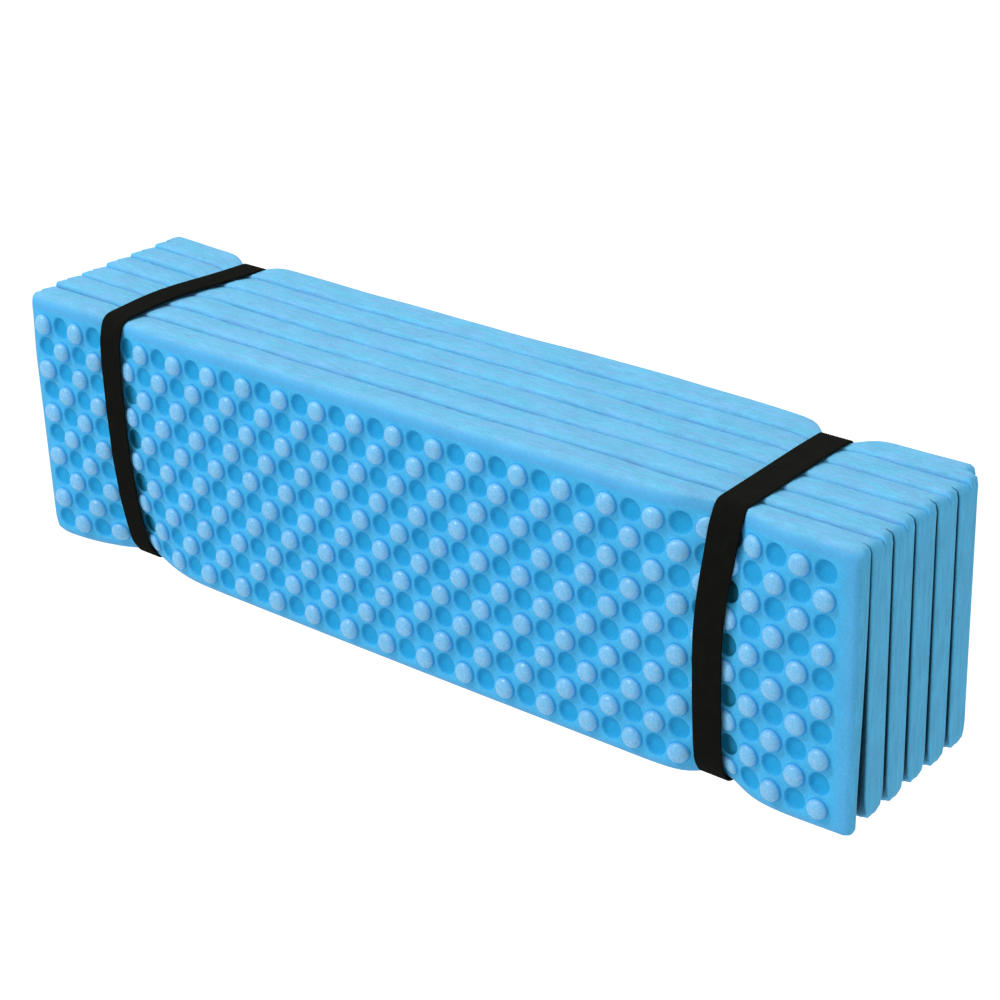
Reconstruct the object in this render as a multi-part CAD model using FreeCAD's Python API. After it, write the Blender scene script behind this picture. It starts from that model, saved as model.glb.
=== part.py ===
import FreeCAD, Part
import os

# Folded foam sleeping pad: twelve panels joined edge to edge by thin fold webs,
# stacked accordion fashion and held by two elastic straps.
# All sizes are in millimetres. +X runs along the bundle, +Y from its front
# panel to its back panel, +Z up. The origin is under the middle of the bundle.

# The stack of panels
PANEL_COUNT = 12
PANEL_PITCH = 9.6
PANEL_THICKNESS = 8.8
PAD_LENGTH = 570.0
BUNDLE_HEIGHT = 153.0
PANEL_CORNER_RADIUS = 8.0
OUTER_EDGE_RADIUS = 5.0
INNER_EDGE_RADIUS = 1.0

# The fold webs: a round bead on the axis of each fold. The bottom folds end above
# the free edges of the first and last panels, which the bundle stands on.
WEB_RADIUS = 1.5
BOTTOM_FOLD_HEIGHT = 6.0
WEB_TO_PANEL_GAP = 0.15
WEB_END_INSET = 8.0

# The elastic straps
STRAP_WIDTH = 20.0
STRAP_THICKNESS = 1.4
STRAP_BEND_RADIUS = 8.0
STRAP_RECESS = 0.25
STRAP_CLEARANCE = 0.35
STRAP_LEFT_X = -213.0
STRAP_RIGHT_X = 205.0

# The sewn join of each strap, on the back of the bundle
LAP_LENGTH = 32.0
LAP_THICKNESS = 1.2
LAP_GAP = 0.05
LAP_SIDE_INSET = 0.5
STITCH_LENGTH = 22.0
STITCH_WIDTH = 15.0
STITCH_LINE = 1.2
STITCH_HEIGHT = 0.2
STITCH_GAP = 0.02

# Sizes that follow from those above
STACK_HALF_DEPTH = (PANEL_PITCH * (PANEL_COUNT - 1) + PANEL_THICKNESS) / 2
TOP_FOLD_HEIGHT = BUNDLE_HEIGHT - WEB_RADIUS
FOLD_TO_PANEL = WEB_RADIUS + WEB_TO_PANEL_GAP
STRAP_OUTER_Y = STACK_HALF_DEPTH - STRAP_RECESS
STRAP_INNER_Y = STRAP_OUTER_Y - STRAP_THICKNESS
STRAP_MIDDLE_Z = BUNDLE_HEIGHT / 2
LAP_OUTER_Y = STRAP_INNER_Y - LAP_GAP
CUT_MARGIN = 5.0


def box(x_range, y_range, z_range):
    size = [high - low for low, high in (x_range, y_range, z_range)]
    corner = FreeCAD.Vector(x_range[0], y_range[0], z_range[0])
    return Part.makeBox(size[0], size[1], size[2], corner)


def edges_along(shape, axis):
    """The straight edges of a solid that run along one axis: 0 for X, 1 for Y, 2 for Z."""
    found = []
    for edge in shape.Edges:
        ends = edge.Vertexes
        if len(ends) != 2:
            continue
        step = ends[1].Point - ends[0].Point
        if abs(abs(step[axis]) - step.Length) < 1e-6:
            found.append(edge)
    return found


def edges_at(shape, y, z):
    """The long edges of a slab that lie at one depth and height."""
    found = []
    for edge in edges_along(shape, 0):
        point = edge.Vertexes[0].Point
        if abs(point.y - y) < 1e-6 and abs(point.z - z) < 1e-6:
            found.append(edge)
    return found


def fold_y(number):
    """Depth of the contact plane behind a panel, counted from 1 at the front."""
    return PANEL_PITCH * (number - PANEL_COUNT / 2)


def fold_is_at_top(number):
    return number % 2 == 1


def panel_bottom(number):
    """The first and last panels end in a free edge at the bottom; the others end in a fold."""
    if number in (1, PANEL_COUNT):
        return 0.0
    return BOTTOM_FOLD_HEIGHT + FOLD_TO_PANEL


def panel(number):
    """A slab, well rounded on the outside of its folds and nearly square on the inside."""
    middle = fold_y(number) - PANEL_PITCH / 2
    front = middle - PANEL_THICKNESS / 2
    back = middle + PANEL_THICKNESS / 2
    half_length = PAD_LENGTH / 2
    bottom = panel_bottom(number)
    top = TOP_FOLD_HEIGHT - FOLD_TO_PANEL
    outer_top, inner_top = (front, back) if fold_is_at_top(number) else (back, front)
    slab = box((-half_length, half_length), (front, back), (bottom, top))
    outer = edges_at(slab, outer_top, top) + edges_at(slab, inner_top, bottom)
    slab = slab.makeFillet(OUTER_EDGE_RADIUS, outer)
    inner = edges_at(slab, inner_top, top) + edges_at(slab, outer_top, bottom)
    slab = slab.makeFillet(INNER_EDGE_RADIUS, inner)
    outline = box((-half_length, half_length), (front, back), (bottom, top))
    outline = outline.makeFillet(PANEL_CORNER_RADIUS, edges_along(outline, 1))
    return slab.common(outline)


def fold_web(number):
    """The bead between a panel and the next one, at the top or the bottom in turn."""
    height = BOTTOM_FOLD_HEIGHT
    if fold_is_at_top(number):
        height = TOP_FOLD_HEIGHT
    length = PAD_LENGTH - 2 * (PANEL_CORNER_RADIUS + WEB_END_INSET)
    start = FreeCAD.Vector(-length / 2, fold_y(number), height)
    return Part.makeCylinder(WEB_RADIUS, length, start, FreeCAD.Vector(1, 0, 0))


def loop_prism(x_range, outer_y, margin_z, radius):
    """A block with rounded long edges, as seen along the bundle."""
    block = box(x_range, (-outer_y, outer_y), (margin_z, BUNDLE_HEIGHT - margin_z))
    return block.makeFillet(radius, edges_along(block, 0))


def strap_loop(centre_x):
    x_range = (centre_x - STRAP_WIDTH / 2, centre_x + STRAP_WIDTH / 2)
    inner_radius = STRAP_BEND_RADIUS - STRAP_THICKNESS
    inner_margin = STRAP_RECESS + STRAP_THICKNESS
    outside = loop_prism(x_range, STRAP_OUTER_Y, STRAP_RECESS, STRAP_BEND_RADIUS)
    inside = loop_prism(x_range, STRAP_INNER_Y, inner_margin, inner_radius)
    return outside.cut(inside)


def strap_lap(centre_x):
    """The end of the webbing that lies under the loop where the loop is sewn shut."""
    half_width = STRAP_WIDTH / 2 - LAP_SIDE_INSET
    x_range = (centre_x - half_width, centre_x + half_width)
    y_range = (LAP_OUTER_Y - LAP_THICKNESS, LAP_OUTER_Y)
    z_range = (STRAP_MIDDLE_Z - LAP_LENGTH / 2, STRAP_MIDDLE_Z + LAP_LENGTH / 2)
    return box(x_range, y_range, z_range)


def strap_stitch(centre_x):
    """The box of thread that sews the lap, standing just proud of the webbing."""
    front = STRAP_OUTER_Y + STITCH_GAP
    y_range = (front, front + STITCH_HEIGHT)
    half_width = STITCH_WIDTH / 2
    half_length = STITCH_LENGTH / 2
    outline = box(
        (centre_x - half_width, centre_x + half_width),
        y_range,
        (STRAP_MIDDLE_Z - half_length, STRAP_MIDDLE_Z + half_length),
    )
    opening = box(
        (centre_x - half_width + STITCH_LINE, centre_x + half_width - STITCH_LINE),
        y_range,
        (
            STRAP_MIDDLE_Z - half_length + STITCH_LINE,
            STRAP_MIDDLE_Z + half_length - STITCH_LINE,
        ),
    )
    return outline.cut(opening)


def strap_channel(centre_x):
    """The room that a strap presses into the foam, with its lap's pocket at the back."""
    half_width = STRAP_WIDTH / 2 + STRAP_CLEARANCE
    x_range = (centre_x - half_width, centre_x + half_width)
    inner_y = STRAP_INNER_Y - STRAP_CLEARANCE
    inner_margin = STRAP_RECESS + STRAP_THICKNESS + STRAP_CLEARANCE
    inner_radius = STRAP_BEND_RADIUS - STRAP_THICKNESS - STRAP_CLEARANCE
    reach_y = STACK_HALF_DEPTH + CUT_MARGIN
    whole = box(x_range, (-reach_y, reach_y), (-CUT_MARGIN, BUNDLE_HEIGHT + CUT_MARGIN))
    channel = whole.cut(loop_prism(x_range, inner_y, inner_margin, inner_radius))
    pocket_half = LAP_LENGTH / 2 + STRAP_CLEARANCE
    pocket = box(
        x_range,
        (LAP_OUTER_Y - LAP_THICKNESS - STRAP_CLEARANCE, reach_y),
        (STRAP_MIDDLE_Z - pocket_half, STRAP_MIDDLE_Z + pocket_half),
    )
    return channel.fuse(pocket)


def save(name, shape):
    if len(shape.Solids) != 1 or not shape.isValid():
        raise ValueError(name + " is not one valid solid")
    shape.Solids[0].exportStep("parts/" + name + ".step")


def build():
    os.makedirs("parts", exist_ok=True)
    channels = strap_channel(STRAP_LEFT_X).fuse(strap_channel(STRAP_RIGHT_X))
    for number in range(1, PANEL_COUNT + 1):
        save("panel_%02d" % number, panel(number).cut(channels))
    for number in range(1, PANEL_COUNT):
        name = "fold_web_%02d_%02d" % (number, number + 1)
        save(name, fold_web(number).cut(channels))
    for side, centre_x in (("left", STRAP_LEFT_X), ("right", STRAP_RIGHT_X)):
        save("strap_" + side, strap_loop(centre_x))
        save("strap_" + side + "_lap", strap_lap(centre_x))
        save("strap_" + side + "_stitch", strap_stitch(centre_x))


build()
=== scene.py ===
import math

import bpy
import numpy as np
from mathutils import Matrix, Vector


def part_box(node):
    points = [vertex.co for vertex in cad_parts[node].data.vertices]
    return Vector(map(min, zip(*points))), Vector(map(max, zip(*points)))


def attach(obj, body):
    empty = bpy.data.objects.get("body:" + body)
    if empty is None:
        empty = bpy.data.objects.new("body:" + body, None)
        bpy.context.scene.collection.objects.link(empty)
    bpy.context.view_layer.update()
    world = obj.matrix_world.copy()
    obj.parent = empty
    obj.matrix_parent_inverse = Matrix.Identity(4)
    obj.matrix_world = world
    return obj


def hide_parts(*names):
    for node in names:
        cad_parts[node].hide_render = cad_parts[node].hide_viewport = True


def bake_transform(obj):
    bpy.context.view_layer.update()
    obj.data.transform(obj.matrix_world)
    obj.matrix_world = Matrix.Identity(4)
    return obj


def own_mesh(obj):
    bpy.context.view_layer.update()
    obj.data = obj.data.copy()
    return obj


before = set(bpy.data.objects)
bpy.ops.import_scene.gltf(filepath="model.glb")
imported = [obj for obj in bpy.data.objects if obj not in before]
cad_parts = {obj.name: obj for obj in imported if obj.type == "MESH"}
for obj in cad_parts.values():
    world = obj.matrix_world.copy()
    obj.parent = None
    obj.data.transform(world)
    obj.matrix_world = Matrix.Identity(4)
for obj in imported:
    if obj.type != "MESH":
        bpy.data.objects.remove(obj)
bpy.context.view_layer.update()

# Shapes are worked out in millimetres and turned into metres when a mesh is made.
# X runs along the folded bundle, Y from its front panel to its back panel, Z up.
MM = 0.001
PANELS = 12


def box_mm(node):
    """Lowest and highest corner of a CAD node, in millimetres."""
    low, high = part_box(node)
    return np.array(low) / MM, np.array(high) / MM


def web_name(fold):
    return f"fold_web_{fold:02d}_{fold + 1:02d}"


def axis_of(fold):
    """(y, z) of the axis that a fold turns about."""
    low, high = box_mm(web_name(fold))
    return (low[1] + high[1]) / 2, (low[2] + high[2]) / 2


AXES = {fold: axis_of(fold) for fold in range(1, PANELS)}
TOP_AXIS_Z = AXES[1][1]
BOTTOM_AXIS_Z = AXES[2][1]
HALF_LENGTH = box_mm("panel_01")[1][0]
STRAP_X = {side: float(sum(c[0] for c in box_mm(f"strap_{side}")) / 2) for side in ("left", "right")}
# The foam reaches a little past the axes of its folds.
CREST_Z = TOP_AXIS_Z + 0.6
INNER_FLOOR_Z = BOTTOM_AXIS_Z - 1.2

# The egg-crate relief: a checkerboard of bumps and dimples.
COLUMNS = 40
ROWS = 10
CELL = 13.81
LATTICE_LEFT = -279.1
LATTICE_BOTTOM = 5.5
LATTICE_RIGHT = LATTICE_LEFT + COLUMNS * CELL
LATTICE_TOP = LATTICE_BOTTOM + ROWS * CELL
BUMP_RADIUS = 6.05
BUMP_HEIGHT = 4.1
DIMPLE_RADIUS = 6.2
DIMPLE_DEPTH = 2.3
# (share of the radius, share of the height) from the middle of a bump or dimple outwards.
FINE_BUMP = (
    (0.0, 1.0), (0.32, 0.975), (0.58, 0.90), (0.78, 0.75), (0.91, 0.50), (0.98, 0.20), (1.06, 0.0)
)
FINE_DIMPLE = (
    (0.0, 1.0), (0.38, 0.99), (0.68, 0.95), (0.84, 0.80), (0.94, 0.46), (0.99, 0.14), (1.05, 0.0)
)
COARSE_CELL = ((0.0, 1.0), (0.52, 0.9), (0.84, 0.5), (1.03, 0.0))
CELL_SPREAD = 0.05

# Outline corners of a panel, seen from the front.
CORNER_RADIUS = {
    ("left", "bottom"): 10.0,
    ("left", "top"): 3.0,
    ("right", "top"): 4.0,
    ("right", "bottom"): 4.5,
}
PANEL_THICKNESS = 9.8

STRAP_WIDTH = 20.0
STRAP_THICKNESS = 1.4

random = np.random.default_rng(11)


# ---------------------------------------------------------------- shape of the stack

def smooth(value, start, end):
    """0 before start and 1 after end, with a soft ramp; start may be the larger one."""
    t = np.clip((np.asarray(value, float) - start) / (end - start), 0.0, 1.0)
    return t * t * (3.0 - 2.0 * t)


def bell(x, centre, width):
    return np.exp(-(np.abs(x - centre) / width) ** 2.2)


def bend(z, start, end):
    """Grows as a parabola from 0 at start to 1 at end, as a sheet bends."""
    return np.clip((np.asarray(z, float) - start) / (end - start), 0.0, 1.2) ** 2


WAVE_LENGTHS = np.array([210.0, 118.0, 61.0])
WAVE_SHARES = np.array([0.5, 0.32, 0.18])
WAVE_PHASES = random.uniform(0.0, 2.0 * math.pi, (PANELS + 1, 3, 3))


def wave(fold, channel, x):
    """A slow, irregular wave along a fold, between -1 and 1."""
    x = np.asarray(x, float)
    turns = x[..., None] / WAVE_LENGTHS * 2.0 * math.pi + WAVE_PHASES[fold, channel]
    return np.sin(turns) @ WAVE_SHARES


# How the straps pull on the two outer panels: side, depth, half-width along X, and the heights
# where the pull starts and where it is full.
FRONT_PULLS = (
    ("left", 11.0, 33.0, 82.0, 0.0),
    ("left", 2.5, 18.0, 96.0, 152.0),
    ("right", 5.0, 22.0, 80.0, 0.0),
    ("right", 8.5, 24.0, 62.0, 152.0),
)
BACK_PULLS = (
    ("left", 6.0, 19.0, 82.0, 0.0),
    ("left", 8.5, 14.0, 70.0, 152.0),
    ("right", 6.0, 19.0, 82.0, 0.0),
    ("right", 14.5, 14.0, 70.0, 152.0),
)
EVEN_PULL, EVEN_PULL_WIDTH = 1.0, 14.0
# The share of a pull that reaches each contact, and what the first one loses towards the top.
FRONT_PULL_SHARES = {0: 1.0, 1: 0.45, 2: 0.14}
BACK_PULL_SHARES = {PANELS: 1.0, PANELS - 1: 0.5, PANELS - 2: 0.22}
FIRST_SHARE_LOSS = 0.22


def pinch(pulls, x, z):
    """How far the straps pull an outer panel inwards."""
    depth = EVEN_PULL * sum(bell(x, centre, EVEN_PULL_WIDTH) for centre in STRAP_X.values())
    for side, pull, width, start, full in pulls:
        depth = depth + pull * bell(x, STRAP_X[side], width) * bend(z, start, full)
    return depth


def pinch_shares(number, z):
    """How much of the front and of the back pinch reaches a contact."""
    front = FRONT_PULL_SHARES.get(number, 0.0)
    if number == 1:
        front = front - FIRST_SHARE_LOSS * smooth(z, 100.0, 150.0)
    return front, BACK_PULL_SHARES.get(number, 0.0)


# Depth of the front face and of the panels, and what they lose towards the right end.
FRONT_Y, FRONT_SKEW = -57.3, 1.5
FIRST_DEPTH, FIRST_LOSS = 9.95, 0.95
INNER_DEPTH, INNER_LOSS = 9.78, 0.48
LAST_DEPTH, LAST_LOSS = 11.3, 2.3
LOSS_START_X = 60.0
CONTACT_WAVE = 0.25
# The two panels either side of a valley in the top lean back together.
VALLEY_LEAN = 1.3


def contact_y(number, x, z):
    """Middle of the contact behind panel `number`; 0 is the front face and 12 the back face."""
    x = np.asarray(x, float)
    taper = smooth(x, LOSS_START_X, HALF_LENGTH)
    y = FRONT_Y + FRONT_SKEW * x / HALF_LENGTH
    if number > 0:
        y = y + FIRST_DEPTH - FIRST_LOSS * taper
        y = y + (min(number, PANELS - 1) - 1) * (INNER_DEPTH - INNER_LOSS * taper)
    if number == PANELS:
        y = y + LAST_DEPTH - LAST_LOSS * taper
    if 0 < number < PANELS:
        y = y + CONTACT_WAVE * wave(number, 0, x)
        if number % 2 == 0:
            y = y + VALLEY_LEAN * smooth(z, 134.0, 148.0)
    front, back = pinch_shares(number, z)
    return y + front * pinch(FRONT_PULLS, x, z) - back * pinch(BACK_PULLS, x, z)


# Half of the space between two panels: where they press together, what it gains at the top behind the
# first ridge, under a top fold, and what it gains there near the ends, just below the fold and lower.
CLOSED_GAP = 0.02
FIRST_VALLEY_GAP = 0.22
OPEN_GAP = 0.14
END_GAP_BELOW_FOLD, END_GAP_LOWER = 0.5, 0.6


def half_gap(number, x, z):
    """Half of the space between two panels. It opens at the ends, away from a top fold."""
    if number in (0, PANELS):
        return 0.0
    if number == 2:
        return CLOSED_GAP + FIRST_VALLEY_GAP * smooth(z, 138.0, 150.0)
    if number % 2 == 0:
        return CLOSED_GAP
    near_end = smooth(np.abs(x), 238.0, 280.0)
    below_fold = END_GAP_BELOW_FOLD * smooth(z, TOP_AXIS_Z, 143.0)
    return OPEN_GAP + near_end * (below_fold + END_GAP_LOWER * smooth(z, 145.0, 20.0))


# How far the front and back of the first panel stand away at its free lower corner, and how far
# the inner panels draw in towards their bottom folds.
FLARE_FRONT, FLARE_BACK = 1.8, 4.0
TIP_FRONT, TIP_BACK = 2.3, 2.8


def flare(x, z):
    """The free lower corner of the front panel stands away at the right end."""
    return smooth(x, 222.0, HALF_LENGTH) * smooth(z, 140.0, 0.0)


def front_face(number, x, z):
    """y of a panel's front surface, before its relief."""
    y = contact_y(number - 1, x, z) + half_gap(number - 1, x, z)
    if number == 1:
        y = y - FLARE_FRONT * flare(x, z)
    elif number % 2 == 0:
        y = y + TIP_FRONT * bend(z, 21.0, 8.0)
    return y


def back_face(number, x, z):
    """y of a panel's back surface, before its relief."""
    y = contact_y(number, x, z) - half_gap(number, x, z)
    if number == 1:
        y = y - FLARE_BACK * flare(x, z)
    elif number % 2 == 1:
        y = y - TIP_BACK * bend(z, 20.0, 8.0)
    return y


def panel_floor(number):
    """Lowest z of a panel: the inner ones end in a fold, above the free edges of the two outer ones."""
    return 0.0 if number in (1, PANELS) else INNER_FLOOR_Z


def lifted(number, xz):
    """Sheet points (n, 2) of a panel, drawn up from its floor."""
    x, z = xz.T
    return np.column_stack([x, z + panel_floor(number) * smooth(z, 21.0, LATTICE_BOTTOM)])


# Unevenness of the folds. The top folds rise towards the left end, the later ones more, and the
# bottom folds from the sixth on rise towards the right end.
FOLD_WAVE = 0.45
LEFT_RISE, LEFT_RISE_PER_FOLD = 1.3, 0.15
LEFT_CORNER_RISE = 0.7
RIGHT_RISE_PER_FOLD = 0.42
FIRST_RIGHT_RISE, FIRST_SAG = 2.2, 0.8
# Under a strap the folds are pressed: at the top down towards the valleys, at the bottom up.
VALLEY_Z = CREST_Z - 3.5
TOP_PRESS, TOP_PRESS_WIDTH = 0.6, 13.0
STRAP_LIFT = {"left": 2.2, "right": 5.4}
STRAP_LIFT_WIDTH = 14.0
# How far the ends stand back: all at the left, the first at its lower right, the last at the right.
LEFT_SETBACK, INNER_SETBACK_SHARE = 2.0, 0.6
FIRST_SETBACK = 0.5
LAST_SETBACK, LAST_LOWER_SETBACK = 6.4, 2.1


def settled_z(number, x, z):
    """Heights on a panel after its folds have settled and the straps have pressed them."""
    top_fold = number if number % 2 else number - 1
    bottom_fold = number - 1 if number % 2 else number
    near_top = smooth(z, 128.0, 151.0)
    near_bottom = smooth(z, 24.0, 2.0)
    z = z + FOLD_WAVE * wave(top_fold, 1, x) * near_top
    left_rise = LEFT_RISE + LEFT_RISE_PER_FOLD * top_fold
    z = z + left_rise * smooth(x, -80.0, -HALF_LENGTH) * near_top
    if number == 1:
        free_edge = FIRST_RIGHT_RISE * smooth(x, 235.0, HALF_LENGTH) - FIRST_SAG * bell(x, -20.0, 170.0)
        z = z + free_edge * near_bottom
    else:
        if number > 2:
            z = z + LEFT_CORNER_RISE * smooth(x, -240.0, -HALF_LENGTH) * near_top
        z = z + FOLD_WAVE * (wave(bottom_fold, 2, x) + 1.0) * near_bottom
        right_rise = RIGHT_RISE_PER_FOLD * max(bottom_fold - 4, 0)
        z = z + right_rise * smooth(x, 190.0, HALF_LENGTH) * near_bottom
    for side, centre in STRAP_X.items():
        z = z - TOP_PRESS * bell(x, centre, TOP_PRESS_WIDTH) * np.maximum(z - VALLEY_Z, 0.0)
        z = z + STRAP_LIFT[side] * bell(x, centre, STRAP_LIFT_WIDTH) * near_bottom
    return z


def settled_x(number, x, z):
    """Lengthwise places on a panel after its ends have been set back."""
    share = smooth(z, 148.0, 112.0) if number == 1 else INNER_SETBACK_SHARE
    moved = x - LEFT_SETBACK * smooth(x, -266.0, -HALF_LENGTH) * share
    at_right_end = smooth(x, 258.0, HALF_LENGTH)
    if number == 1:
        moved = moved - FIRST_SETBACK * at_right_end * smooth(z, 70.0, 0.0)
    if number == PANELS:
        moved = moved - (LAST_SETBACK + LAST_LOWER_SETBACK * smooth(z, 150.0, 135.0)) * at_right_end
    return moved


def settle(number, points):
    """Finished points (n, 3) of a panel, moved by its uneven folds, the straps and its short ends."""
    x, y, z = points.T
    return np.column_stack([settled_x(number, x, z), y, settled_z(number, x, z)])


# ---------------------------------------------------------------- relief sheets

CELL_SCALE = 1.0 + CELL_SPREAD * random.standard_normal((COLUMNS, ROWS)).clip(-1.6, 1.6)


def is_bump(column, row):
    """The cells of the checkerboard are bumps and dimples in turn."""
    return (column + row) % 2 == 1


def cell_relief(column, row, rings):
    """Heights of the rings of one cell: bumps stand to the front, dimples to the back."""
    heights = np.array([share for _, share in rings])
    full_height = BUMP_HEIGHT if is_bump(column, row) else -DIMPLE_DEPTH
    return heights * CELL_SCALE[column, row] * full_height


def lattice_sheet(per_side, bump_rings, dimple_rings):
    """A flat checkerboard of round cells in (x, z) with relief.

    Returns points (n, 2), relief (n,), faces as quads and triangles that look to the front,
    and the loop of border points, anticlockwise seen from the front."""
    across, up = COLUMNS * per_side + 1, ROWS * per_side + 1
    index = -np.ones((across, up), int)
    points, relief = [], []
    for a in range(across):
        for b in range(up):
            if a % per_side == 0 or b % per_side == 0:
                index[a, b] = len(points)
                points.append((LATTICE_LEFT + a * CELL / per_side, LATTICE_BOTTOM + b * CELL / per_side))
                relief.append(0.0)
    walk = [(m, 0) for m in range(per_side)] + [(per_side, m) for m in range(per_side)]
    walk += [(per_side - m, per_side) for m in range(per_side)] + [(0, per_side - m) for m in range(per_side)]
    count = len(walk)
    angles = -0.75 * math.pi + 2.0 * math.pi * np.arange(count) / count
    circle = np.column_stack([np.cos(angles), np.sin(angles)])
    quads, tris = [], []
    for column in range(COLUMNS):
        for row in range(ROWS):
            bump = is_bump(column, row)
            rings, radius = (bump_rings, BUMP_RADIUS) if bump else (dimple_rings, DIMPLE_RADIUS)
            heights = cell_relief(column, row, rings)
            centre = np.array([LATTICE_LEFT + (column + 0.5) * CELL, LATTICE_BOTTOM + (row + 0.5) * CELL])
            middle = len(points)
            points.append(tuple(centre))
            relief.append(heights[0])
            loops = []
            for (share, _), height in zip(rings[1:], heights[1:]):
                loops.append(np.arange(len(points), len(points) + count))
                points.extend(map(tuple, centre + circle * share * radius))
                relief.extend([height] * count)
            border = [index[column * per_side + a, row * per_side + b] for a, b in walk]
            loops.append(np.array(border))
            first = loops[0]
            tris.extend(zip([middle] * count, first, np.roll(first, -1)))
            for inner, outer in zip(loops, loops[1:]):
                quads.append(np.column_stack([inner, outer, np.roll(outer, -1), np.roll(inner, -1)]))
    border = [index[a, 0] for a in range(across - 1)]
    border += [index[across - 1, b] for b in range(up - 1)]
    border += [index[a, up - 1] for a in range(across - 1, 0, -1)]
    border += [index[0, b] for b in range(up - 1, 0, -1)]
    return {
        "points": np.array(points),
        "relief": np.array(relief),
        "quads": np.concatenate(quads),
        "tris": np.array(tris),
        "border": np.array(border),
    }


# ---------------------------------------------------------------- panel edges

ROUNDING_TURNS = np.radians([0.0, 14.0, 30.0, 45.0, 60.0, 76.0, 90.0])
MIDDLE_SHARES = (0.06, 0.16, 0.5, 0.84)


def rounding(level, inset, depth):
    """Rows of (inset, depth) round an edge, from the face to the outline.

    The edge is rounded over `inset` by `depth`, and ends `level` in from the outline."""
    return np.array([
        (level + inset * (1 - math.sin(turn)), depth * (1 - math.cos(turn))) for turn in ROUNDING_TURNS
    ])


def edge_profile(front, back, crease=0.0):
    """Section of a panel's edge from its front face to its back face.

    front and back are the (level, inset, depth) of its roundings, and `crease` is the depth of the
    line behind the front one. Returns rows of (inset, share of thickness)."""
    head = rounding(*front)
    tail = rounding(*back)[::-1]
    tail[:, 1] = PANEL_THICKNESS - tail[:, 1]
    middle = np.array([head[-1] + (tail[0] - head[-1]) * share for share in MIDDLE_SHARES])
    middle[0, 0] += crease
    table = np.vstack([head, middle, tail])
    table[:, 1] /= PANEL_THICKNESS
    return table


TIGHT = (0.0, 0.4, 0.3)
TIGHT_AT_TOP_FOLD = (0.2, 0.4, 0.3)
TIGHT_AT_BOTTOM_FOLD = (0.4, 0.4, 0.3)
SEAMLESS = (0.0, 0.08, 0.08)


def edge_profiles(number):
    """The sections at a panel's top, bottom and ends."""
    if number == 1:
        return {
            "top": edge_profile((0.0, 6.4, 6.6), TIGHT_AT_TOP_FOLD),
            "bottom": edge_profile((0.5, 3.6, 3.6), (0.0, 2.4, 2.4)),
            "end": edge_profile((0.0, 4.6, 5.6), (0.2, 1.2, 1.2), 0.35),
        }
    if number == PANELS:
        return {
            "top": edge_profile(TIGHT, (0.0, 1.8, 2.8)),
            "bottom": edge_profile((0.0, 4.0, 4.0), (0.0, 4.0, 4.0)),
            "end": edge_profile((0.2, 2.4, 3.0), (0.0, 3.6, 4.0)),
        }
    if number % 2 == 0:
        return {
            "top": edge_profile(TIGHT_AT_TOP_FOLD, (1.6, 1.5, 2.2)),
            "bottom": edge_profile((0.0, 5.3, 5.2), TIGHT_AT_BOTTOM_FOLD),
            "end": edge_profile((0.0, 1.3, 1.8), SEAMLESS),
        }
    return {
        "top": edge_profile((0.0, 3.2, 3.6), TIGHT_AT_TOP_FOLD),
        "bottom": edge_profile(TIGHT_AT_BOTTOM_FOLD, (0.0, 5.3, 5.4)),
        "end": edge_profile(SEAMLESS, (0.2, 1.8, 2.4)),
    }


def outline(number, border_points):
    """Where each lattice border point meets the panel's rounded outline, and the outward normals there."""
    x, z = border_points.T
    floor_z = panel_floor(number)
    sharp_x = -HALF_LENGTH + (x - LATTICE_LEFT) / (LATTICE_RIGHT - LATTICE_LEFT) * 2.0 * HALF_LENGTH
    sharp_z = floor_z + (z - LATTICE_BOTTOM) / (LATTICE_TOP - LATTICE_BOTTOM) * (CREST_Z - floor_z)
    sharp = np.column_stack([sharp_x, sharp_z])
    place = sharp.copy()
    normal = np.zeros_like(sharp)
    normal[np.isclose(sharp_z, floor_z)] = (0.0, -1.0)
    normal[np.isclose(sharp_z, CREST_Z)] = (0.0, 1.0)
    normal[np.isclose(sharp_x, -HALF_LENGTH)] = (-1.0, 0.0)
    normal[np.isclose(sharp_x, HALF_LENGTH)] = (1.0, 0.0)
    for (side, level), radius in CORNER_RADIUS.items():
        corner_x = HALF_LENGTH if side == "right" else -HALF_LENGTH
        corner = np.array([corner_x, CREST_Z if level == "top" else floor_z])
        inward = np.array([-1.0 if side == "right" else 1.0, -1.0 if level == "top" else 1.0])
        centre = corner + inward * radius
        near = np.all((sharp - centre) * inward < 0.0, axis=1)
        away = sharp[near] - centre
        away /= np.linalg.norm(away, axis=1)[:, None]
        place[near] = centre + away * radius
        normal[near] = away
    return place, normal


# The rings of an edge keep at least this share of their way to the lattice's border.
LEAST_MARGIN = 0.03


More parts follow.
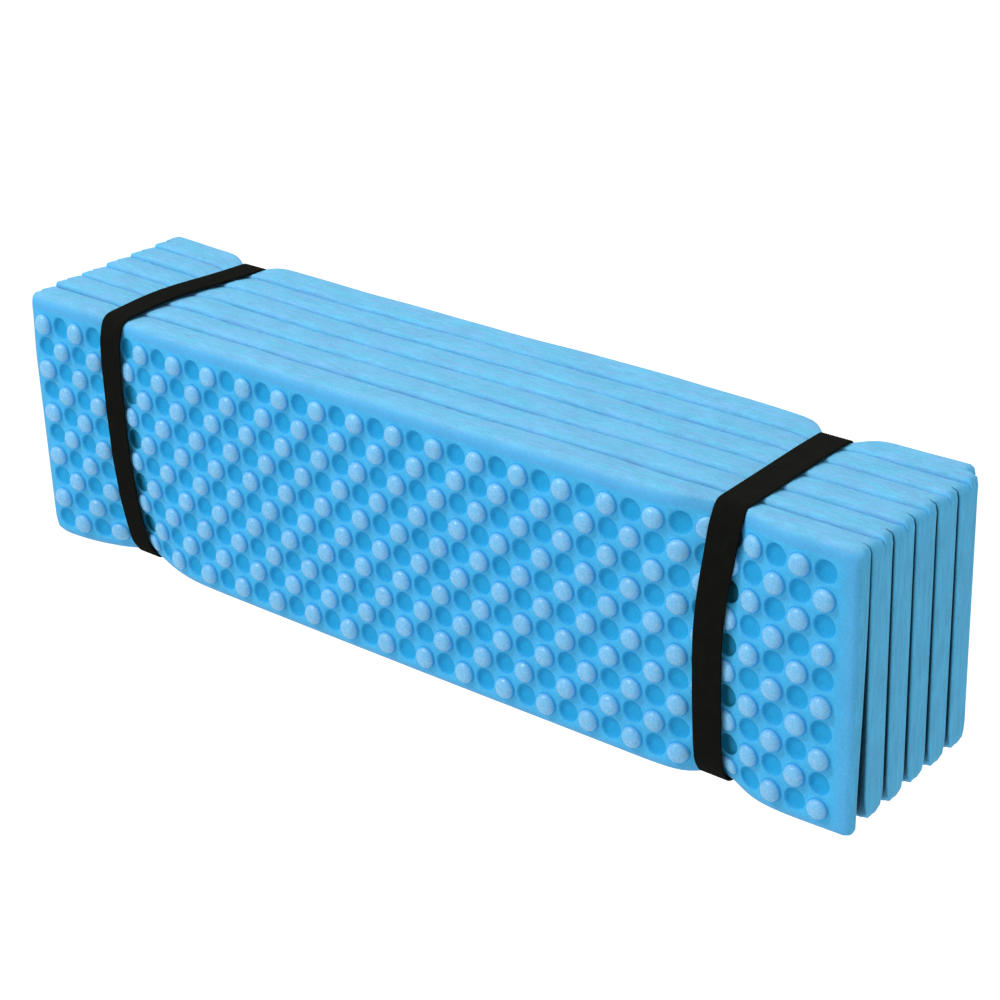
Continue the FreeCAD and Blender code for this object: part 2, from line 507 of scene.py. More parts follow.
def edge_rings(number, border_points):
    """(rings, points, 3) across a panel's edge, from its front face to its back face.

    With them come each point's share of end face, of the panel's thickness and of top face."""
    place, normal = outline(number, border_points)
    border_points = lifted(number, border_points)
    weight = {
        "top": np.clip(normal[:, 1], 0, 1) ** 2,
        "bottom": np.clip(-normal[:, 1], 0, 1) ** 2,
        "end": normal[:, 0] ** 2,
    }
    margin = weight["top"] * (CREST_Z - LATTICE_TOP) + weight["bottom"] * LATTICE_BOTTOM
    margin = margin + weight["end"] * np.where(
        normal[:, 0] > 0, HALF_LENGTH - LATTICE_RIGHT, LATTICE_LEFT + HALF_LENGTH
    )
    profiles = edge_profiles(number)
    rings, shares = [], []
    for step in range(len(profiles["top"])):
        inset = sum(weight[part] * profiles[part][step, 0] for part in weight)
        share = sum(weight[part] * profiles[part][step, 1] for part in weight)
        flat = place + (border_points - place) * np.clip(inset / margin, 0.0, 1.0 - LEAST_MARGIN)[:, None]
        front = front_face(number, flat[:, 0], flat[:, 1])
        back = back_face(number, flat[:, 0], flat[:, 1])
        rings.append(np.column_stack([flat[:, 0], front + share * (back - front), flat[:, 1]]))
        shares.append(share)
    shares = np.concatenate(shares)
    end_share, top_share = (np.tile(weight[part], len(rings)) for part in ("end", "top"))
    if number == 1:
        end_share = end_share * smooth(shares, 0.05, 0.35)
        top_share = top_share * smooth(shares, 0.04, 0.30)
    return np.array(rings), end_share, shares, top_share


# ---------------------------------------------------------------- meshes

def new_object(name, points, faces, attributes, material):
    """A smooth-shaded mesh object from points in millimetres."""
    mesh = bpy.data.meshes.new(name)
    mesh.from_pydata((np.asarray(points) * MM).tolist(), [], faces)
    for key, values in attributes.items():
        layer = mesh.attributes.new(key, "FLOAT", "POINT")
        layer.data.foreach_set("value", np.asarray(values, np.float32))
    mesh.shade_smooth()
    mesh.update()
    mesh.materials.append(material)
    made = bpy.data.objects.new(name, mesh)
    bpy.context.scene.collection.objects.link(made)
    return made


def ring_quads(rings, closed=True):
    """Quads between consecutive index rings."""
    quads = []
    for inner, outer in zip(rings, rings[1:]):
        block = np.column_stack([inner, outer, np.roll(outer, -1), np.roll(inner, -1)])
        quads.append(block if closed else block[:-1])
    return np.concatenate(quads)


STRAP_FLATTENING, STRAP_FLAT_WIDTH = 0.6, 12.5
RELIEF_AT_FOLD = 0.5


def pressed_relief(is_outside, xz, relief):
    """Relief of one face of a panel: flatter under the straps outside, and near a bottom fold inside."""
    if is_outside:
        under_strap = sum(bell(xz[:, 0], centre, STRAP_FLAT_WIDTH) for centre in STRAP_X.values())
        return relief * (1.0 - STRAP_FLATTENING * under_strap)
    return relief * (RELIEF_AT_FOLD + (1.0 - RELIEF_AT_FOLD) * smooth(xz[:, 1], 10.0, 26.0))


def strap_shade(x, z, relief):
    """1 in the hollows beside the right edge of a strap, which lie in its shadow while it is there."""
    beside = bell(x, STRAP_X["right"] + 8.0, 5.0)
    beside = beside + bell(x, STRAP_X["left"] + 9.0, 6.0) * smooth(z, 138.0, 88.0)
    return beside * smooth(relief, 0.0, -0.8)


def gap_shade_mask(number, points, share):
    """1 near the ends on the side of a panel that lines an open gap, where little light gets in; there the
    colour is painted nearly black as shade.
    """
    from_gap = 1.0 - share if number % 2 else share
    return smooth(from_gap, 0.28, 0.04) * smooth(np.abs(points[:, 0]), 236.0, 262.0)


def panel_object(number, front_sheet, back_sheet, material):
    """A panel: a relief sheet in front, another behind, and the rounded edge between them."""
    front_xz, back_xz = lifted(number, front_sheet["points"]), lifted(number, back_sheet["points"])
    front_relief = pressed_relief(number == 1, front_xz, front_sheet["relief"])
    back_relief = pressed_relief(number == PANELS, back_xz, back_sheet["relief"])
    front_y = front_face(number, *front_xz.T) - front_relief
    back_y = back_face(number, *back_xz.T) - back_relief
    front_points = np.column_stack([front_xz[:, 0], front_y, front_xz[:, 1]])
    back_points = np.column_stack([back_xz[:, 0], back_y, back_xz[:, 1]])
    border_points = front_sheet["points"][front_sheet["border"]]
    rings, end_share, ring_share, top_share = edge_rings(number, border_points)
    points = np.concatenate([front_points, back_points, rings.reshape(-1, 3)])
    back_start = len(front_points)
    ring_start = back_start + len(back_points)
    loop = rings.shape[1]
    loops = [front_sheet["border"]]
    loops += [ring_start + step * loop + np.arange(loop) for step in range(len(rings))]
    loops += [back_sheet["border"] + back_start]
    faces = front_sheet["quads"].tolist() + front_sheet["tris"].tolist()
    faces += (back_sheet["quads"][:, ::-1] + back_start).tolist()
    faces += (back_sheet["tris"][:, ::-1] + back_start).tolist()
    faces += ring_quads(loops).tolist()
    relief = np.concatenate([
        front_sheet["relief"] / BUMP_HEIGHT,
        -back_sheet["relief"] / BUMP_HEIGHT,
        np.zeros(rings.shape[0] * loop),
    ])
    rim = np.concatenate([np.zeros(ring_start), np.ones(rings.shape[0] * loop)])
    cut = np.concatenate([np.zeros(ring_start), end_share])
    shade = np.zeros(len(points))
    if number == 1:
        shade[:back_start] = strap_shade(*front_xz.T, front_relief)
    share = np.concatenate([np.zeros(len(front_points)), np.ones(len(back_points)), ring_share])
    painted_gap_shade = gap_shade_mask(number, points, share)
    crest = np.concatenate([np.zeros(ring_start), top_share])
    marks = {"relief": relief, "rim": rim, "cut": cut, "crest": crest, "shade": shade, "painted_gap_shade": painted_gap_shade}
    return new_object(f"pad_panel_{number:02d}", settle(number, points), faces, marks, material)


# Half-width and height of the skin over a fold, outside and inside.
TOP_CREASE = ((0.62, 0.62), (0.25, 0.25))
BOTTOM_CREASE = ((5.2, 2.0), (3.6, 0.9))
CREASE_STEP = 4.0
CREASE_FADE, CREASE_FADE_LENGTH = 0.2, 12.0


def crease_object(fold, material):
    """The skin over a fold: a flattened half tube along the crease, wider round the bottom folds."""
    is_top = fold % 2 == 1
    outer, inner = TOP_CREASE if is_top else BOTTOM_CREASE
    axis_z = AXES[fold][1]
    x = np.arange(-HALF_LENGTH + 5.0, HALF_LENGTH - 4.0, CREASE_STEP)
    turn = np.radians(np.linspace(-25.0, 205.0, 10))
    section = [(-math.cos(t) * outer[0], math.sin(t) * outer[1]) for t in turn]
    section += [(-math.cos(t) * inner[0], math.sin(t) * inner[1]) for t in turn[::-2]]
    section = np.array(section)
    if not is_top:
        section[:, 1] *= -1.0
    away_from_left = smooth(x, x[0], x[0] + CREASE_FADE_LENGTH)
    away_from_right = smooth(x, x[-1], x[-1] - CREASE_FADE_LENGTH)
    sizes = 1.0 - CREASE_FADE * (1.0 - away_from_left * away_from_right)
    rows = []
    for along, size in zip(x, sizes):
        y = contact_y(fold, along, axis_z) + section[:, 0] * size
        z = axis_z + section[:, 1] * size
        rows.append(np.column_stack([np.full(len(section), along), y, z]))
    count = len(section)
    loops = [step * count + np.arange(count) for step in range(len(x))]
    quads = ring_quads(loops)
    caps = [loops[0].tolist(), loops[-1][::-1].tolist()]
    if is_top:
        quads = quads[:, ::-1]
        caps = [cap[::-1] for cap in caps]
    points = settle(fold, np.concatenate(rows))
    marks = {key: np.zeros(len(points)) for key in ("relief", "cut", "shade", "painted_gap_shade")}
    marks["rim"] = np.ones(len(points))
    marks["crest"] = np.full(len(points), 1.0 if is_top else 0.0)
    return new_object(f"pad_crease_{fold:02d}", points, quads.tolist() + caps, marks, material)


# ---------------------------------------------------------------- straps

def convex_hull(points):
    """Convex hull of (n, 2) points, anticlockwise."""
    ordered = sorted(map(tuple, np.round(points, 4)))

    def half(sequence):
        chain = []
        for p in sequence:
            while len(chain) > 1:
                (ax, ay), (bx, by) = chain[-2], chain[-1]
                if (bx - ax) * (p[1] - ay) - (by - ay) * (p[0] - ax) > 0:
                    break
                chain.pop()
            chain.append(p)
        return chain[:-1]

    return np.array(half(ordered) + half(ordered[::-1]))


def resample(path, step):
    """Even steps along a closed path."""
    closed = np.vstack([path, path[:1]])
    run = np.concatenate([[0.0], np.cumsum(np.linalg.norm(np.diff(closed, axis=0), axis=1))])
    count = int(round(run[-1] / step))
    marks = np.arange(count) * run[-1] / count
    return np.column_stack([np.interp(marks, run, closed[:, axis]) for axis in range(2)])


def soften(path, reach):
    """Moving average round a closed path."""
    kernel = np.hanning(2 * reach + 3)[1:-1]
    kernel /= kernel.sum()
    result = np.zeros_like(path)
    for shift, share in zip(range(-reach, reach + 1), kernel):
        result += share * np.roll(path, shift, axis=0)
    return result


RIBS = 15
RIB_HEIGHT = 0.13
PATH_STEP = 1.1
STRAP_TO_FOAM = 0.35


def strap_path(centre_x, panels):
    """Closed (y, z) path of a strap pulled tight round the panels, with its outward normals."""
    near = []
    for panel in panels:
        count = len(panel.data.vertices)
        points = np.empty(count * 3)
        panel.data.vertices.foreach_get("co", points)
        points = points.reshape(-1, 3) / MM
        near.append(points[np.abs(points[:, 0] - centre_x) < STRAP_WIDTH / 2 - 1.0][:, 1:])
    path = resample(convex_hull(np.concatenate(near)), PATH_STEP)
    path = soften(path, 3)
    at_back = np.where(path[:, 0] > 0.0, np.abs(path[:, 1] - 60.0), np.inf)
    path = np.roll(path, -int(np.argmin(at_back)), axis=0)
    along = np.roll(path, -1, axis=0) - np.roll(path, 1, axis=0)
    along /= np.linalg.norm(along, axis=1)[:, None]
    normal = np.column_stack([along[:, 1], -along[:, 0]])
    return path + normal * (STRAP_THICKNESS / 2 + STRAP_TO_FOAM), normal


def webbing_section(width, thickness):
    """(across, out) round a strip of webbing: a ribbed outer side and a flat inner side."""
    across = np.linspace(-width / 2, width / 2, RIBS * 4 + 1)
    from_edge = width / 2 - np.abs(across)
    rib = RIB_HEIGHT * np.cos(across / width * RIBS * 2.0 * math.pi)
    out = (thickness / 2 + rib) * np.clip(from_edge / 0.5, 0.0, 1.0) ** 0.5
    inner = np.linspace(width / 2, -width / 2, 9)[1:-1]
    section = list(zip(across, out)) + [(a, -thickness / 2) for a in inner]
    return np.array(section)


def strap_lean(side, y, z):
    """Sideways shift of a strap: the right one leans in front, both run slightly askew over the top."""
    if side == "right":
        return smooth(y, 60.0, -60.0) * (-3.7 + 3.2 * z / 150.0 + 4.5 * smooth(z, 85.0, 152.0))
    return (3.6 * smooth(y, -12.0, 60.0) - 4.4 * bell(y, -14.0, 35.0)) * smooth(z, 60.0, 150.0)


STRAP_SHARES = {"left": (0.79, 0.84), "right": (0.86, 0.91)}


def strap_narrowing(side, z):
    """Share of its slack width that a stretched strap keeps at a height."""
    low, high = STRAP_SHARES[side]
    return low + (high - low) * smooth(z, 90.0, 150.0)


def webbing_mesh(name, side, centre_x, path, normal, section, closed, material):
    """Sweeps a webbing section along a path in the (y, z) plane."""
    rows = []
    for (y, z), (ny, nz) in zip(path, normal):
        across, out = section.T
        x = centre_x + strap_lean(side, y, z) + across * strap_narrowing(side, z)
        rows.append(np.column_stack([x, y + ny * out, z + nz * out]))
    count = len(section)
    loops = [step * count + np.arange(count) for step in range(len(rows))]
    if closed:
        loops.append(loops[0])
    faces = ring_quads(loops)[:, ::-1].tolist()
    if not closed:
        faces += [loops[0].tolist(), loops[-1][::-1].tolist()]
    made = new_object(name, np.concatenate(rows), faces, {}, material)
    layer = made.data.uv_layers.new(name="weave")
    vertex = np.empty(len(made.data.loops), int)
    made.data.loops.foreach_get("vertex_index", vertex)
    row = vertex // count
    if closed:
        band = np.arange(len(vertex)) // (4 * count)
        row = np.where((band == len(rows) - 1) & (row == 0), len(rows), row)
    weave = np.column_stack([section[vertex % count, 0], row * PATH_STEP])
    layer.data.foreach_set("uv", weave.astype(np.float32).ravel())
    return made


STITCH_HALF_ALONG = 11.0
STITCH_TO_STRAP_EDGE = 2.0
STITCH_PITCH = 2.9
STITCH_HALF_LENGTH = 1.15
STITCH_ARCH = 0.34
THREAD_RADIUS = 0.38
THREAD_SIDES, THREAD_STATIONS = 8, 7


def stitch_spots(half_across):
    """(across, along, angle) of every stitch of a sewn box with its two diagonals."""
    spots = []
    for across in np.arange(-half_across + 1.0, half_across, STITCH_PITCH):
        spots += [(across, -STITCH_HALF_ALONG, 0.0), (across, STITCH_HALF_ALONG, 0.0)]
    for along in np.arange(-STITCH_HALF_ALONG + 1.2, STITCH_HALF_ALONG, STITCH_PITCH):
        spots += [(-half_across, along, math.pi / 2), (half_across, along, math.pi / 2)]
    diagonal = math.atan2(STITCH_HALF_ALONG, half_across)
    for share in np.arange(-0.8, 0.81, 0.2):
        spots += [(share * half_across, share * STITCH_HALF_ALONG, diagonal)]
        if abs(share) > 0.05:
            spots += [(share * half_across, -share * STITCH_HALF_ALONG, -diagonal)]
    return spots


def stitch_ring(name, side, centre_x, path, normal, material):
    """A box of thread stitches on the outer side of a strap, round the middle of `path`."""
    run = (np.arange(len(path)) - (len(path) - 1) / 2) * PATH_STEP
    middle_z = float(path[:, 1].mean())
    half_across = STRAP_WIDTH / 2 * float(strap_narrowing(side, middle_z)) - STITCH_TO_STRAP_EDGE
    centre_x = centre_x + float(strap_lean(side, float(path[:, 0].mean()), middle_z))
    points, faces = [], []
    around = np.linspace(0.0, 2.0 * math.pi, THREAD_SIDES, endpoint=False)
    for across, along, angle in stitch_spots(half_across):
        loops = []
        for station in np.linspace(-1.0, 1.0, THREAD_STATIONS):
            loops.append(len(points) + np.arange(THREAD_SIDES))
            size = THREAD_RADIUS * math.sqrt(max(1.0 - station * station, 0.02))
            lift = STITCH_ARCH * (1.0 - station * station)
            for turn in around:
                lengthwise, sideways = station * STITCH_HALF_LENGTH, math.cos(turn) * size
                u = across + lengthwise * math.cos(angle) - sideways * math.sin(angle)
                v = along + lengthwise * math.sin(angle) + sideways * math.cos(angle)
                y, z = (np.interp(v, run, path[:, axis]) for axis in range(2))
                ny, nz = (np.interp(v, run, normal[:, axis]) for axis in range(2))
                out = STRAP_THICKNESS / 2 + 0.02 + lift + math.sin(turn) * size
                points.append((centre_x + u, y + ny * out, z + nz * out))
        faces += ring_quads(loops).tolist()
        faces += [loops[0].tolist(), loops[-1][::-1].tolist()]
    return new_object(name, np.array(points), faces, {}, material)


# ---------------------------------------------------------------- materials

class Nodes:
    """Short ways to build a node material."""

    def __init__(self, name):
        self.material = bpy.data.materials.new(name)
        self.material.use_nodes = True
        self.tree = self.material.node_tree
        self.surface = self.tree.nodes["Principled BSDF"]

    def add(self, kind, inputs=None, **settings):
        node = self.tree.nodes.new(kind)
        for key, value in settings.items():
            setattr(node, key, value)
        for key, value in (inputs or {}).items():
            self.put(value, node.inputs[key])
        return node

    def put(self, value, socket):
        if isinstance(value, bpy.types.NodeSocket):
            self.tree.links.new(value, socket)
        else:
            socket.default_value = value

    def math(self, operation, a, b=0.0):
        return self.add("ShaderNodeMath", {0: a, 1: b}, operation=operation).outputs[0]

    def remap(self, value, low, high, new_low, new_high):
        inputs = {"Value": value, "From Min": low, "From Max": high, "To Min": new_low, "To Max": new_high}
        return self.add("ShaderNodeMapRange", inputs).outputs["Result"]

    def mix(self, factor, a, b, blend="MIX"):
        node = self.add("ShaderNodeMix", data_type="RGBA", blend_type=blend)
        self.put(factor, node.inputs["Factor"])
        self.put(a, node.inputs["A"])
        self.put(b, node.inputs["B"])
        return node.outputs["Result"]

    def attribute(self, name):
        return self.add("ShaderNodeAttribute", attribute_name=name).outputs["Fac"]

    def noise(self, vector, scale, detail=2.0, roughness=0.5):
        inputs = {"Vector": vector, "Scale": scale, "Detail": detail, "Roughness": roughness}
        return self.add("ShaderNodeTexNoise", inputs).outputs["Fac"]

    def stretched(self, vector, scale):
        return self.add("ShaderNodeMapping", {"Vector": vector, "Scale": scale}).outputs["Vector"]

    def raise_surface(self, height, strength, distance):
        inputs = {"Height": height, "Strength": strength, "Distance": distance}
        normal = self.add("ShaderNodeBump", inputs).outputs["Normal"]
        self.put(normal, self.surface.inputs["Normal"])


# Foam colours: flat ground; bump tops painted lighter as if lit, with painted glints; dimples and bump sides
# painted darker as shade; edges; the two tints of the folds on top; cut ends; and the painted shadow of a
# strap in the hollows beside it.
GROUND = (0.070, 0.520, 0.930, 1.0)
PAINTED_LIT_CROWN = (0.185, 0.580, 0.950, 1.0)
PAINTED_GLINT = (0.420, 0.640, 0.980, 1.0)
PAINTED_HOLLOW_SHADE = (0.018, 0.415, 0.800, 1.0)
PAINTED_WALL_SHADE = (0.010, 0.350, 0.800, 1.0)
RIM = (0.095, 0.465, 0.860, 1.0)
CREST_CYAN = (0.140, 0.530, 0.795, 1.0)
CREST_VIOLET = (0.178, 0.492, 0.800, 1.0)
CUT = (0.108, 0.560, 0.930, 1.0)
STRAP_SHADOW = (0.000, 0.062, 0.075, 1.0)
# Webbing between its ribs, on them where it is painted lighter as if lit and shows fibre fuzz, and where it
# is worn.
WEBBING_DARK = (0.0018, 0.0024, 0.0016, 1.0)
WEBBING_LIGHT = (0.0070, 0.0082, 0.0052, 1.0)
WEBBING_WORN = (0.0095, 0.0100, 0.0065, 1.0)
THREAD_DARK = (0.012, 0.012, 0.012, 1.0)
THREAD_LIGHT = (0.045, 0.045, 0.042, 1.0)
# Surroundings within this many metres keep light from the foam.
SHADE_REACH = 0.018


def foam_material():
    n = Nodes("closed_cell_foam")
    where = n.add("ShaderNodeTexCoord").outputs["Object"]
    relief = n.attribute("relief")
    crest, cut = n.attribute("crest"), n.attribute("cut")
    grain = n.noise(where, 800.0, 3.0, 0.65)
    mottle = n.noise(where, 55.0, 2.0)
    streak = n.noise(n.stretched(where, (0.16, 1.0, 1.0)), 560.0, 3.0, 0.75)
    patch = n.noise(n.stretched(where, (0.22, 1.0, 1.0)), 260.0, 3.0, 0.6)
    painted_glint_spots = n.noise(where, 520.0, 3.0, 0.7)
    # Bump sides and dimples get darker colours as painted shade.
    colour = n.mix(n.remap(relief, 0.0, 0.10, 0.0, 1.0), GROUND, PAINTED_WALL_SHADE)
    # Bump tops get a lighter colour as painted light, and noise spots on them a paler one as painted glints.
    painted_crown_light = n.mix(n.remap(painted_glint_spots, 0.50, 0.72, 0.0, 0.55), PAINTED_LIT_CROWN, PAINTED_GLINT)
    colour = n.mix(n.remap(relief, 0.12, 0.50, 0.0, 1.0), colour, painted_crown_light)
    colour = n.mix(n.remap(relief, 0.0, -0.36, 0.0, 1.0), colour, PAINTED_HOLLOW_SHADE)
    colour = n.mix(n.attribute("rim"), colour, RIM)
    pale = n.mix(n.remap(patch, 0.38, 0.62, 0.0, 1.0), CREST_CYAN, CREST_VIOLET)
    colour = n.mix(crest, colour, pale)
    colour = n.mix(cut, colour, CUT)
    open_sky = n.add("ShaderNodeAmbientOcclusion", {"Distance": SHADE_REACH}, samples=8).outputs["AO"]
    covered = n.math("MULTIPLY", n.attribute("shade"), n.remap(open_sky, 0.48, 0.68, 1.0, 0.0))
    colour = n.mix(covered, colour, STRAP_SHADOW)
    value = n.remap(grain, 0.3, 0.7, 0.91, 1.09)
    value = n.math("MULTIPLY", value, n.remap(mottle, 0.35, 0.65, 0.965, 1.035))
    streak_share = n.math("MULTIPLY", crest, n.remap(streak, 0.32, 0.68, -0.10, 0.10))
    sliced = n.noise(n.stretched(where, (1.0, 1.0, 0.10)), 480.0, 3.0, 0.75)
    sliced_share = n.math("MULTIPLY", cut, n.remap(sliced, 0.32, 0.68, -0.12, 0.12))
    value = n.math("ADD", value, n.math("ADD", streak_share, sliced_share))
    # Painted shade: the colour darkens where the surroundings close in, in creases and hollows, and nearly to
    # black on the marked gap faces near the ends.
    crease_shading = n.remap(open_sky, 0.05, 0.32, 0.52, 1.0)
    gap_shading = n.remap(open_sky, 0.35, 0.90, 0.02, 1.0)
    choice = {"Factor": n.attribute("painted_gap_shade"), "A": crease_shading, "B": gap_shading}
    value = n.math("MULTIPLY", value, n.add("ShaderNodeMix", choice).outputs["Result"])
    shaded = n.add("ShaderNodeHueSaturation", {"Value": value, "Color": colour})
    n.put(shaded.outputs["Color"], n.surface.inputs["Base Color"])
    crown_share = n.remap(relief, 0.15, 0.50, 0.0, 1.0)
    polish = n.math("MULTIPLY", crown_share, 0.28)
    roughness = n.math("SUBTRACT", n.remap(grain, 0.3, 0.7, 0.50, 0.62), polish)
    n.put(roughness, n.surface.inputs["Roughness"])
    n.put(n.remap(crown_share, 0.0, 1.0, 0.16, 0.50), n.surface.inputs["Specular IOR Level"])
    height = n.math("ADD", n.math("MULTIPLY", grain, 0.55), n.math("MULTIPLY", streak, crest))
    n.raise_surface(height, 0.55, 0.0005)
    return n.material


def webbing_material():
    n = Nodes("ribbed_elastic_webbing")
    uv = n.add("ShaderNodeUVMap", uv_map="weave").outputs["UV"]
    parts = n.add("ShaderNodeSeparateXYZ", {"Vector": uv})
    picks = n.math("SINE", n.math("MULTIPLY", parts.outputs["Y"], 2.0 * math.pi / PATH_STEP))
    ribs = n.math("COSINE", n.math("MULTIPLY", parts.outputs["X"], 2.0 * math.pi * RIBS / STRAP_WIDTH))
    weave = n.math("MULTIPLY", picks, ribs)
    fuzz = n.noise(uv, 3.2, 3.0, 0.7)
    worn = n.noise(uv, 0.12, 2.0)
    # The rib tops are painted lighter as if lit; the fuzz noise adds fibre texture.
    lit = n.math("ADD", n.remap(ribs, -1.0, 1.0, 0.0, 0.45), n.remap(fuzz, 0.35, 0.7, 0.0, 0.65))
    colour = n.mix(lit, WEBBING_DARK, WEBBING_LIGHT)
    colour = n.mix(n.remap(worn, 0.45, 0.7, 0.0, 0.35), colour, WEBBING_WORN)
    n.put(colour, n.surface.inputs["Base Color"])
    n.surface.inputs["Roughness"].default_value = 0.88
    n.surface.inputs["Specular IOR Level"].default_value = 0.09
    height = n.math("ADD", n.math("MULTIPLY", weave, 0.15), fuzz)
    n.raise_surface(height, 0.6, 0.0003)
    return n.material


def thread_material():
    n = Nodes("dark_thread")
    where = n.add("ShaderNodeTexCoord").outputs["Object"]
    twist = n.noise(where, 1800.0, 2.0)
    n.put(n.mix(twist, THREAD_DARK, THREAD_LIGHT), n.surface.inputs["Base Color"])
    n.surface.inputs["Roughness"].default_value = 0.6
    n.raise_surface(twist, 0.5, 0.0002)
    return n.material


def floor_material():
    """Pale, and lifted to white where the camera sees it."""
    n = Nodes("pale_floor")
    where = n.add("ShaderNodeTexCoord").outputs["Object"]
    mottle = n.noise(where, 3.0, 2.0)
    n.surface.inputs["Emission Color"].default_value = (1.0, 1.0, 1.0, 1.0)
    seen = n.add("ShaderNodeLightPath").outputs["Is Camera Ray"]
    n.put(n.math("MULTIPLY", seen, 0.42), n.surface.inputs["Emission Strength"])
    pale = n.mix(mottle, (0.90, 0.90, 0.90, 1.0), (0.93, 0.93, 0.93, 1.0))
    n.put(pale, n.surface.inputs["Base Color"])
    n.surface.inputs["Roughness"].default_value = 0.9
    return n.material


# ---------------------------------------------------------------- the pad

foam = foam_material()
webbing = webbing_material()
thread = thread_material()

fine = lattice_sheet(4, FINE_BUMP, FINE_DIMPLE)
coarse_outer = lattice_sheet(4, COARSE_CELL, COARSE_CELL)
coarse_inner = lattice_sheet(3, COARSE_CELL, COARSE_CELL)

panels = []
for number in range(1, PANELS + 1):
    if number == 1:
        sheets = (fine, coarse_outer)
    elif number == PANELS:
        sheets = (coarse_outer, fine)
    else:
        sheets = (coarse_inner, coarse_inner)
    panel = panel_object(number, *sheets, foam)
    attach(panel, f"panel_{number:02d}")
    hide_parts(f"panel_{number:02d}")
    panels.append(panel)

# A crease is built in place over each fold, and the fold's CAD web is hidden.
for fold in range(1, PANELS):
    crease = crease_object(fold, foam)
    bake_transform(crease)
    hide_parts(web_name(fold))

LAP_HALF = 16.0
LAP_WIDTH, LAP_THICKNESS = 19.0, 1.1
LAP_DEPTH, LAP_SHIFT = 1.25, 0.6
STRAP_LIFT_OVER_LAP = 1.0
for side, centre_x in STRAP_X.items():
    body = f"strap_{side}"
    path, normal = strap_path(centre_x, panels)
    is_back = normal[:, 0] > 0.9
    lap_z = float(sum(c[2] for c in box_mm(f"{body}_lap")) / 2)
    from_lap = np.abs(path[:, 1] - lap_z)
    lift = STRAP_LIFT_OVER_LAP * smooth(from_lap, LAP_HALF + 9.0, LAP_HALF - 1.0) * is_back
    path = path + normal * lift[:, None]
    section = webbing_section(STRAP_WIDTH, STRAP_THICKNESS)
    strap = webbing_mesh(f"elastic_{body}", side, centre_x, path, normal, section, True, webbing)
    under = is_back & (np.abs(path[:, 1] - lap_z) < LAP_HALF)
    order = np.flatnonzero(under)
    order = order[np.argsort(path[order, 1])]
    lap_path = path[order] - normal[order] * LAP_DEPTH
    section = webbing_section(LAP_WIDTH, LAP_THICKNESS)
    lap = webbing_mesh(
        f"elastic_{body}_lap", side, centre_x + LAP_SHIFT, lap_path, normal[order], section, False, webbing
    )
    stitches = stitch_ring(f"thread_{body}", side, centre_x, path[order], normal[order], thread)
    for piece, node in ((strap, body), (lap, f"{body}_lap"), (stitches, f"{body}_stitch")):
        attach(piece, body)
        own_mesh(piece)
        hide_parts(node)


# ---------------------------------------------------------------- room, light and camera

def area_light(name, energy, size, place, target):
    """A round soft light that looks at a target."""
    data = bpy.data.lights.new(name, "AREA")
    data.energy = energy
    data.shape = "DISK"
    data.size = size
    lamp = bpy.data.objects.new(name, data)
    lamp.location = place
    lamp.rotation_euler = (Vector(target) - Vector(place)).to_track_quat("-Z", "Y").to_euler()
    bpy.context.scene.collection.objects.link(lamp)


def white_world(lit, dim_side):
    """Seen by the camera as plain white; lights the scene more softly, and less from the +X side."""
    world = bpy.data.worlds.new("studio")
    world.use_nodes = True
    bpy.context.scene.world = world
    tree = world.node_tree
    background = tree.nodes["Background"]
    background.inputs["Color"].default_value = (1.0, 1.0, 1.0, 1.0)
    direction = tree.nodes.new("ShaderNodeTexCoord")
    parts = tree.nodes.new("ShaderNodeSeparateXYZ")
    tree.links.new(direction.outputs["Generated"], parts.inputs["Vector"])
    side = tree.nodes.new("ShaderNodeMapRange")
    for key, value in (("From Min", 0.0), ("From Max", 0.8), ("To Min", lit), ("To Max", lit * dim_side)):
        side.inputs[key].default_value = value
    tree.links.new(parts.outputs["X"], side.inputs["Value"])
    path = tree.nodes.new("ShaderNodeLightPath")
    strength = tree.nodes.new("ShaderNodeMapRange")
    strength.inputs["To Max"].default_value = 1.0
    tree.links.new(side.outputs["Result"], strength.inputs["To Min"])
    tree.links.new(path.outputs["Is Camera Ray"], strength.inputs["Value"])
    tree.links.new(strength.outputs["Result"], background.inputs["Strength"])


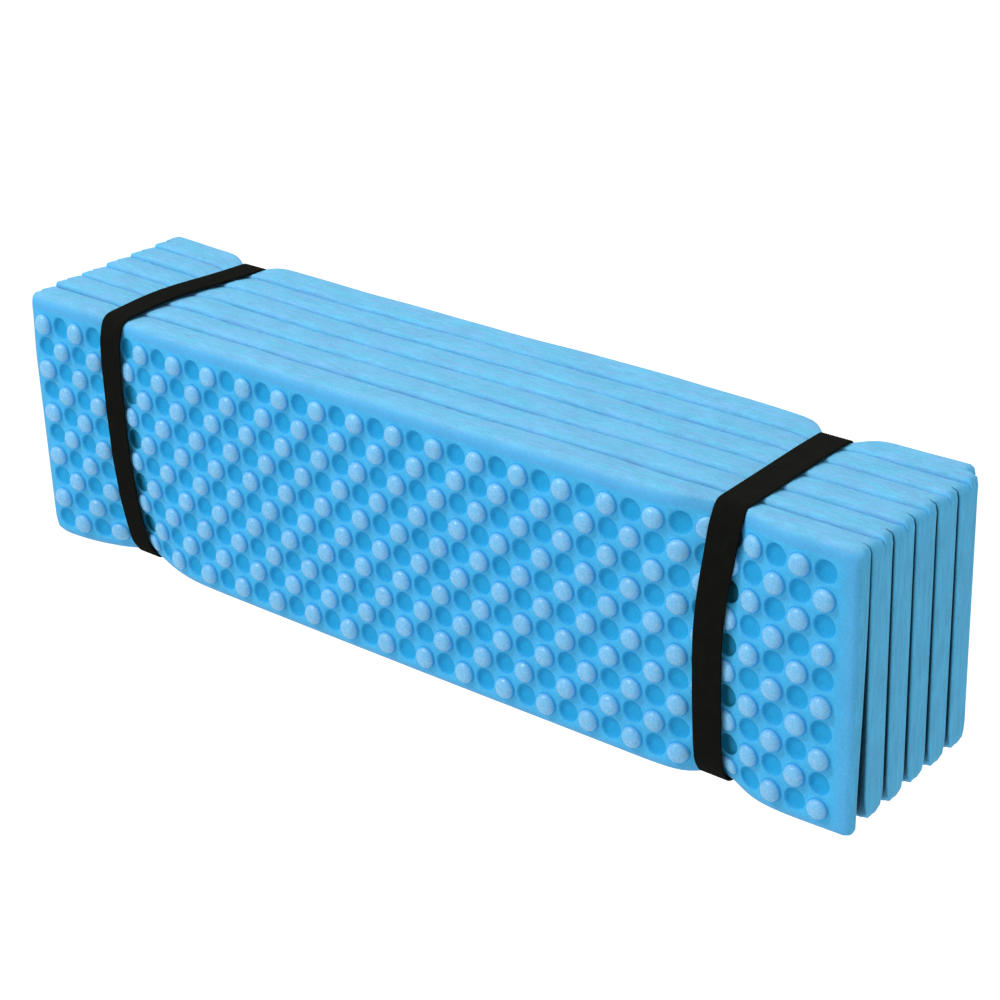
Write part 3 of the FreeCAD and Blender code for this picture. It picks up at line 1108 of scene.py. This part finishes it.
def floor():
    """Lies low enough for the pad to hang unfolded above it."""
    level = -(PANELS / 2) * (TOP_AXIS_Z - BOTTOM_AXIS_Z) - 20.0
    reach, steps = 6.0, 24  # metres each way, and cells across
    line = np.linspace(-reach, reach, steps + 1) / MM
    points = [(x, y, level) for y in line for x in line]
    row = steps + 1
    faces = [
        (j * row + i, j * row + i + 1, (j + 1) * row + i + 1, (j + 1) * row + i)
        for j in range(steps) for i in range(steps)
    ]
    return new_object("studio_floor", points, faces, {}, floor_material())


# The camera turns about its target from the front, which it sees along +Y at azimuth 0.
CAMERA_TARGET = Vector((23.8, 0.0, 84.1)) * MM
CAMERA_DISTANCE = 1284.1 * MM
CAMERA_AZIMUTH = math.radians(41.49)
CAMERA_ELEVATION = math.radians(24.99)
CAMERA_ROLL = math.radians(2.18)
CAMERA_LENS = 86.62


def make_camera():
    data = bpy.data.cameras.new("camera")
    data.lens = CAMERA_LENS
    data.sensor_width = 36.0
    data.clip_end = 50.0
    camera = bpy.data.objects.new("camera", data)
    flat = math.cos(CAMERA_ELEVATION)
    forward = Vector((
        -math.sin(CAMERA_AZIMUTH) * flat, math.cos(CAMERA_AZIMUTH) * flat, -math.sin(CAMERA_ELEVATION)
    ))
    level = forward.cross(Vector((0, 0, 1))).normalized()
    upright = level.cross(forward)
    right = level * math.cos(CAMERA_ROLL) - upright * math.sin(CAMERA_ROLL)
    up = upright * math.cos(CAMERA_ROLL) + level * math.sin(CAMERA_ROLL)
    turn = Matrix((right, up, -forward)).transposed()
    camera.matrix_world = Matrix.Translation(CAMERA_TARGET - forward * CAMERA_DISTANCE) @ turn.to_4x4()
    bpy.context.scene.collection.objects.link(camera)
    bpy.context.scene.camera = camera


white_world(lit=0.70, dim_side=0.66)
middle = (0.0, 0.0, 0.08)
area_light("key", 16.0, 1.6, (-1.2, -1.6, 2.2), middle)
area_light("glint", 16.0, 0.22, (-1.2, -1.5, 2.1), middle)
area_light("overhead", 10.0, 1.2, (0.1, 0.2, 2.4), middle)
floor()
make_camera()
bpy.context.scene.view_settings.view_transform = "Standard"
